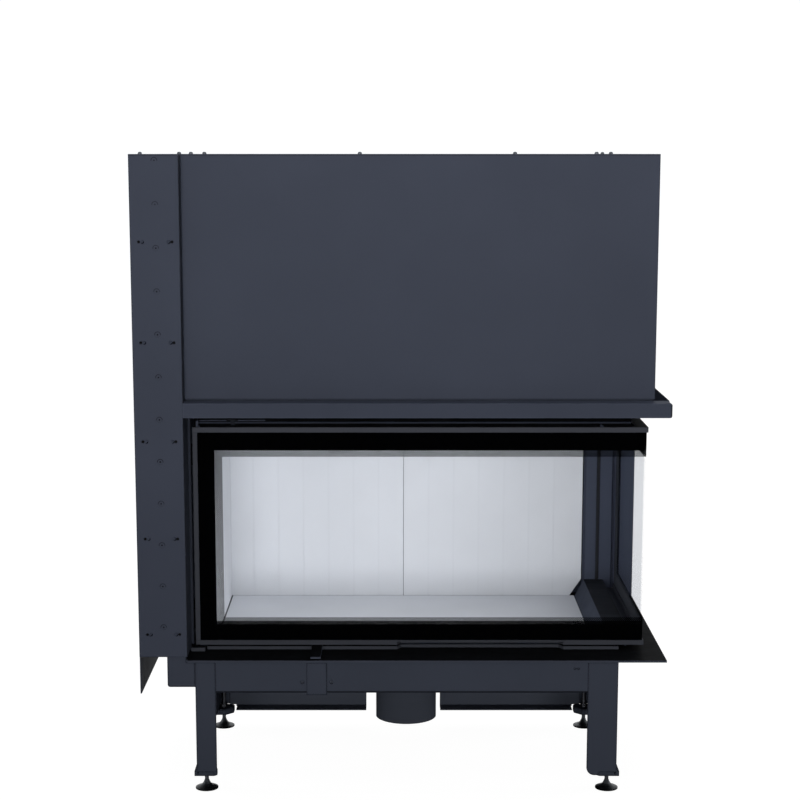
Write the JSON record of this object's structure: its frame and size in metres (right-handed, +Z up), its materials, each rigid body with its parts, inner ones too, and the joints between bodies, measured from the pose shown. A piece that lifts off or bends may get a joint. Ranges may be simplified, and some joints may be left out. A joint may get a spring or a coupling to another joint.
{
  "type": "corner fireplace insert",
  "caption": "Corner fireplace insert with an L-shaped glass door that lifts into a tall steel casing, on a stand with levelling feet.",
  "frame": {"origin": "bottom centre of the bounding box, on the floor", "axes": "+Z up, -Y towards the viewer of the front pane, +X towards the glazed side"},
  "size_m": [1.01, 0.6222, 1.234],
  "materials": {
    "casing_paint": "satin dark grey paint",
    "base_paint": "satin black paint",
    "lining": "matt pale ceramic",
    "glass": "clear",
    "bare_steel": "zinc plated",
    "seal_rope": "matt rope"
  },
  "bodies": {
    "frame": {"column_front_panel": "casing_paint", "left_side_panel": "casing_paint", "column_inner_panel": "casing_paint", "upper_front_panel": "casing_paint", "upper_right_panel": "casing_paint", "rear_panel": "casing_paint", "ledge_front": "casing_paint", "ledge_right": "casing_paint", "top_plates": "casing_paint", "rear_column_strip": "casing_paint", "rear_column_cover": "casing_paint", "base_plate": "base_paint", "front_left_leg": "casing_paint", "front_right_leg": "casing_paint", "rear_legs": "casing_paint", "front_apron": "casing_paint", "stand_side_rails": "casing_paint", "rear_skirt": "casing_paint", "left_lower_plate": "casing_paint", "lever_cover": "casing_paint", "firebox_tray": "casing_paint", "hearth_slab": "lining", "firebox_left_wall": "casing_paint", "firebox_rear_wall": "casing_paint", "firebox_roof": "casing_paint", "smoke_hood": "casing_paint", "flue_collar": "casing_paint", "baffle_plate": "lining", "rear_lining_left": "lining", "rear_lining_right": "lining", "left_lining": "lining", "side_kerb": "casing_paint", "door_lintel": "casing_paint", "frame_seals": "seal_rope", "door_sill_strip": "casing_paint", "left_guide_rail": "bare_steel", "rear_guide_rail": "bare_steel", "pulley_brackets": "bare_steel", "cable_wraps": "bare_steel", "door_cable_strands": "bare_steel", "weight_cable_strands": "bare_steel", "air_box": "casing_paint", "air_spigot": "casing_paint", "casing_fasteners": "bare_steel"},
    "door": {"door_top_rail": "casing_paint", "door_bottom_rail": "casing_paint", "door_left_stile": "casing_paint", "front_glass": "glass", "side_glass": "glass", "left_carriage": "bare_steel", "rear_carriage": "casing_paint"},
    "left_weight": {"left_counterweight": "bare_steel"},
    "rear_weight": {"rear_counterweight": "bare_steel"},
    "left_pulley_wheel": {"left_pulley": "bare_steel"},
    "rear_pulley_wheel": {"rear_pulley": "bare_steel"},
    "air_control": {"air_slide": "casing_paint"},
    "foot_fl": {"foot_front_left": "bare_steel"},
    "foot_fr": {"foot_front_right": "bare_steel"},
    "foot_rl": {"foot_rear_left": "bare_steel"},
    "foot_rr": {"foot_rear_right": "bare_steel"}
  },
  "joints": [
    {"name": "door_lift", "type": "slide", "parent": "frame", "child": "door", "axis": [0, 0, 1], "range_m": [0, 0.44], "deforming": ["door_cable_strands"]},
    {"name": "left_weight_drop", "type": "slide", "parent": "frame", "child": "left_weight", "axis": [0, 0, -1], "range_m": [0, 0.44], "deforming": ["weight_cable_strands"]},
    {"name": "rear_weight_drop", "type": "slide", "parent": "frame", "child": "rear_weight", "axis": [0, 0, -1], "range_m": [0, 0.44]},
    {"name": "left_pulley_turn", "type": "hinge", "parent": "frame", "child": "left_pulley_wheel", "pos_m": [-0.4455, -0.1889, 1.18], "axis": [0, -1, 0], "range_deg": [0, 1009]},
    {"name": "rear_pulley_turn", "type": "hinge", "parent": "frame", "child": "rear_pulley_wheel", "pos_m": [0.4411, 0.2781, 1.18], "axis": [0, -1, 0], "range_deg": [0, 1009]},
    {"name": "air_control_pull", "type": "slide", "parent": "frame", "child": "air_control", "axis": [0, -1, 0], "range_m": [0, 0.05]},
    {"name": "foot_front_left_turn", "type": "hinge", "parent": "frame", "child": "foot_fl", "pos_m": [-0.3855, -0.2549, 0], "axis": [0, 0, 1], "continuous": true},
    {"name": "foot_front_right_turn", "type": "hinge", "parent": "frame", "child": "foot_fr", "pos_m": [0.4002, -0.2549, 0], "axis": [0, 0, 1], "continuous": true},
    {"name": "foot_rear_left_turn", "type": "hinge", "parent": "frame", "child": "foot_rl", "pos_m": [-0.3868, 0.1391, 0], "axis": [0, 0, 1], "continuous": true},
    {"name": "foot_rear_right_turn", "type": "hinge", "parent": "frame", "child": "foot_rr", "pos_m": [0.3962, 0.1391, 0], "axis": [0, 0, 1], "continuous": true}
  ],
  "couplings": [
    {"joint": "left_weight_drop", "follows": "door_lift", "ratio": 1},
    {"joint": "rear_weight_drop", "follows": "door_lift", "ratio": 1},
    {"joint": "left_pulley_turn", "follows": "door_lift", "rad_per_m": 40},
    {"joint": "rear_pulley_turn", "follows": "door_lift", "rad_per_m": 40}
  ]
}
